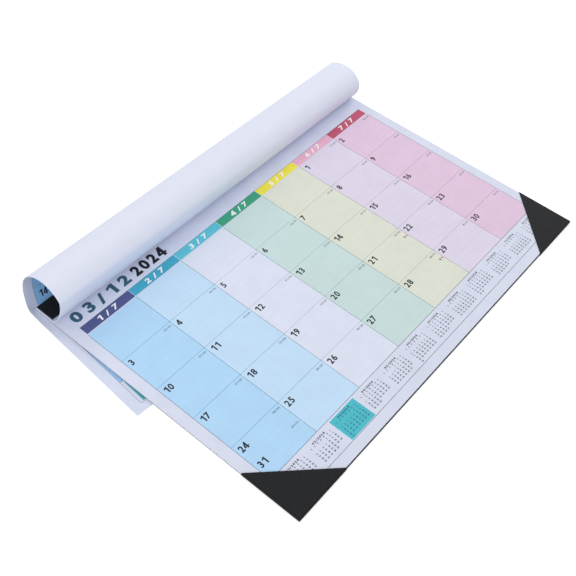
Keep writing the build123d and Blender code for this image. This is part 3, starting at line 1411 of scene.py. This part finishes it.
@dataclass
class TurnedPages:
    """The two pages that are turned over the bound edge, as two thin sheets with air between.

    The sheet inside the loop shows its printed side there, and the other its plain back.
    """

    loop: PageLoop = field(default_factory=PageLoop)
    back: Colour = linear(228, 232, 248)
    front: Colour = linear(214, 220, 240)
    # Whiter than the paper: a painted highlight on the cut edges.
    cut: Colour = linear(246, 249, 255)
    thickness: float = 0.15
    spacing: float = 0.2
    slack: float = 0.9
    left_slack: float = 0.55
    ink_lift: float = 0.03
    columns: int = 61
    curl_columns: int = 5
    tail_steps: int = 16
    sharp_angle: float = 50.0
    figure_side: float = 1.6

    def lift(self, share: np.ndarray, down: np.ndarray, outer: bool) -> np.ndarray:
        """Distance of a sheet's middle from the stack's middle.

        Both sheets keep half the spacing. The outer one also stands off by its slack, which
        follows a squared sine of the length run round the loop and so ends at nothing.

        Args:
            share: How far across the page each point is, from 0 to 1.
            down: Millimetres from the page's top edge.
            outer: Whether it is the sheet outside the loop.

        Returns:
            The distance in millimetres, outwards.
        """
        if not outer:
            return np.full(down.shape, -self.spacing / 2)
        runs = self.loop.ends[0, -1, -1] * (1 - share) + self.loop.ends[1, -1, -1] * share
        round_loop = np.clip((down - self.loop.strip_width) / runs, 0, 1)
        fullness = self.left_slack + (1 - self.left_slack) * share
        return self.spacing / 2 + self.slack * fullness * np.sin(np.pi * round_loop) ** 2

    def sheet(self, name: str, outer: bool, materials: list[Material]) -> Piece:
        """Makes one closed sheet: its two sides are a grid each and its rim joins them.

        Args:
            name: The piece's name.
            outer: Whether it is the sheet outside the loop.
            materials: Those of the side that faces away from the loop's hollow, of the
                side that faces it, and of the cut edges, which carry a painted highlight.

        Returns:
            The sheet, with its page map.
        """
        page = self.loop.layout
        curl = self.loop.curl_width / page.width
        share = np.concatenate((np.linspace(0, curl, self.curl_columns, endpoint=False),
                                np.linspace(curl, 1, self.columns)))
        down = self.loop.rows(share, self.tail_steps)
        rows, across = down.shape
        shares, downs = np.broadcast_to(share, down.shape).ravel(), down.ravel()
        middle = self.lift(shares, downs, outer)
        sides = [self.loop.place(shares * page.width, downs, middle + offset)
                 for offset in (self.thickness / 2, -self.thickness / 2)]
        quads = grid_faces(rows, across)
        ring = np.concatenate((
            np.arange(across),
            np.arange(1, rows) * across + across - 1,
            (rows - 1) * across + np.arange(across - 2, -1, -1),
            np.arange(rows - 2, 0, -1) * across))
        following, count = np.roll(ring, -1), rows * across
        edge = np.stack((ring, following, following + count, ring + count), axis=1)
        piece = mesh_piece(name, np.concatenate(sides),
                           np.concatenate((quads[:, ::-1], quads + count, edge)), materials, True,
                           np.repeat((0, 1, 2), (len(quads), len(quads), len(edge))))
        piece.data.set_sharp_from_angle(angle=math.radians(self.sharp_angle))
        corners = np.zeros(len(piece.data.loops), dtype=np.int32)
        piece.data.loops.foreach_get("vertex_index", corners)
        values = np.stack((np.tile(shares, 2), np.tile(downs, 2) / page.height), axis=1)
        page_map = piece.data.uv_layers.new(name="page")
        page_map.data.foreach_set("uv", values[corners].astype(np.float32).ravel())
        return piece

    def build(self, numbers: MonthNumbers, press: FigurePress) -> None:
        """Makes both sheets, and prints on the inner one's side that faces the hollow.

        Args:
            numbers: The inner page's figures.
            press: What prints them.
        """
        plain = PaperFinish("turned_paper", self.back, 0.012).build()
        # The cut edges get a painted highlight.
        rim = PaperFinish("paper_cut", self.cut, 0.01).build()
        printed = PrintedPageFinish("turned_print", self.front, layout=numbers.layout,
                                    month=numbers.month).build()
        for name, outer, inside in (("turned_page_outer", True, plain),
                                    ("turned_page_inner", False, printed)):
            finished(self.sheet(name, outer, [plain, inside, rim]),
                     "turned_pages", "turned_pages")
        lift = -self.spacing / 2 - self.thickness / 2 - self.ink_lift
        marks = numbers.title() + numbers.bars() + numbers.dates()
        for piece in press.pieces("turned_figures", marks,
                                  lambda points: self.loop.place(*points.T, lift),
                                  self.figure_side).values():
            finished(piece, "turned_pages")


@dataclass
class Binding:
    """The board, the binding strip and the two corner holders, which the part has whole."""

    layout: PageLayout = PageLayout()
    cloth: float = 0.4
    strip_width: float = 20.5
    strip_hem: float = 0.9

    def build(self) -> None:
        """Dresses the four pieces."""
        nodes, half = frame["nodes"], self.layout.height / 2
        side, foot = (self.layout.width / 2 + self.cloth) * MM, -(half + self.cloth) * MM
        dress(nodes["backing_board"], ChipboardFinish().build())
        dress(nodes["binding_strip"],
              LeatheretteFinish("leatherette_strip", ((1, (half - self.strip_width) * MM),),
                                self.strip_hem * MM).build())
        for name, fold in (("left", -side), ("right", side)):
            dress(nodes[f"corner_holder_{name}"],
                  LeatheretteFinish(f"leatherette_{name}", ((0, fold), (1, foot))).build())


@dataclass(frozen=True)
class Lamp:
    """A square lamp that faces the middle of the pad: metres, metres and watts."""

    name: str
    place: Place
    size: float
    power: float


@dataclass
class Studio:
    """Camera, lamps, world and floor. Nothing here is part of the object."""

    eye: Place = (-0.48908, -0.31425, 0.66812)
    rightward: Place = (0.63899, -0.76668, 0.06238)
    upward: Place = (0.57009, 0.52646, 0.63075)
    forward: Place = (0.51642, 0.36748, -0.77348)
    lens: float = 58.02
    sensor_width: float = 36.0
    nearest: float = 0.01
    world_strength: float = 0.54
    lamps: tuple[Lamp, ...] = (
        Lamp("back", (0.25, 1.6, 1.6), 1.3, 8.6),
        Lamp("right", (1.8, 0.2, 1.3), 1.3, 14.2),
        Lamp("left", (-1.9, -0.3, 0.55), 1.0, 21.2),
        Lamp("over", (-0.1, 0.0, 2.2), 2.0, 1.4),
    )
    floor_size: float = 6.0
    floor_drop: float = 0.0003
    floor_colour: Colour = (0.84, 0.84, 0.86)
    floor_glow: float = 0.45

    def camera(self) -> None:
        """Puts the camera where the photograph was taken from."""
        data = bpy.data.cameras.new("camera")
        data.lens, data.sensor_width = self.lens, self.sensor_width
        data.clip_start = self.nearest
        camera = bpy.data.objects.new("camera", data)
        axes = (self.rightward, self.upward, tuple(-part for part in self.forward))
        camera.matrix_world = Matrix.Translation(self.eye) @ Matrix(axes).transposed().to_4x4()
        bpy.context.scene.collection.objects.link(camera)
        bpy.context.scene.camera = camera

    def light(self, lamp: Lamp) -> None:
        """Adds a lamp.

        Args:
            lamp: Its place, size and power.
        """
        data = bpy.data.lights.new(lamp.name, "AREA")
        data.shape, data.size, data.energy = "SQUARE", lamp.size, lamp.power
        holder = bpy.data.objects.new(lamp.name, data)
        holder.location = lamp.place
        holder.rotation_euler = (-Vector(lamp.place)).to_track_quat("-Z", "Y").to_euler()
        bpy.context.scene.collection.objects.link(holder)

    def world(self) -> None:
        """Lights all round at a plain level, and shows white to the camera and in gloss."""
        world = bpy.data.worlds.new("studio")
        world.use_nodes = True
        tree = Tree(world.node_tree)
        light, seen = (tree.add("Background", {"Color": (1, 1, 1, 1), "Strength": strength})
                       for strength in (self.world_strength, 1.0))
        rays = tree.add("LightPath").outputs
        share = rays["Is Camera Ray"]
        for ray in ("Is Glossy Ray", "Is Transmission Ray"):
            share = tree.maths("MAXIMUM", share, rays[ray])
        mix = tree.add("MixShader", {0: share, 1: light.outputs[0], 2: seen.outputs[0]})
        tree.add("OutputWorld", {"Surface": mix.outputs[0]})
        bpy.context.scene.world = world

    def floor(self) -> None:
        """A plain pale floor that keeps the object's shadow and is white away from it."""
        graph = Graph("floor")
        seen = graph.add("LightPath").outputs["Is Camera Ray"]
        graph.set(Base_Color=(*self.floor_colour, 1), Roughness=0.9, Specular_IOR_Level=0.1,
                  Emission_Color=(1, 1, 1, 1), Emission_Strength=graph.both(seen, self.floor_glow))
        half, drop = self.floor_size / 2, -self.floor_drop
        points = np.array([(-half, -half, drop), (half, -half, drop), (half, half, drop),
                           (-half, half, drop)])
        mesh_piece("floor", points, np.array([(0, 1, 2, 3)]), [graph.material])

    def build(self) -> None:
        """Sets up the whole studio."""
        bpy.context.scene.view_settings.view_transform = "Standard"
        self.camera()
        self.world()
        self.floor()
        for lamp in self.lamps:
            self.light(lamp)


def main() -> None:
    """Builds the calendar's looks."""
    logging.basicConfig(level=logging.INFO, format="%(name)s: %(message)s")
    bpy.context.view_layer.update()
    Studio().build()
    press = FigurePress()
    Binding().build()
    TopPage().build(MonthNumbers(3, marked=(21, 28)), press)
    turned_print = PageLayout(side_margin=10.4, header_top=41.3, header_bottom=51.0, grid_top=52.0,
                              grid_bottom=269.8, strip_bottom=297.4, month_inset=5.3)
    TurnedPages().build(MonthNumbers(1, layout=turned_print, date_inset=4.2, date_base=11.8),
                        press)
    bpy.context.view_layer.update()


if __name__ == "__main__":
    main()
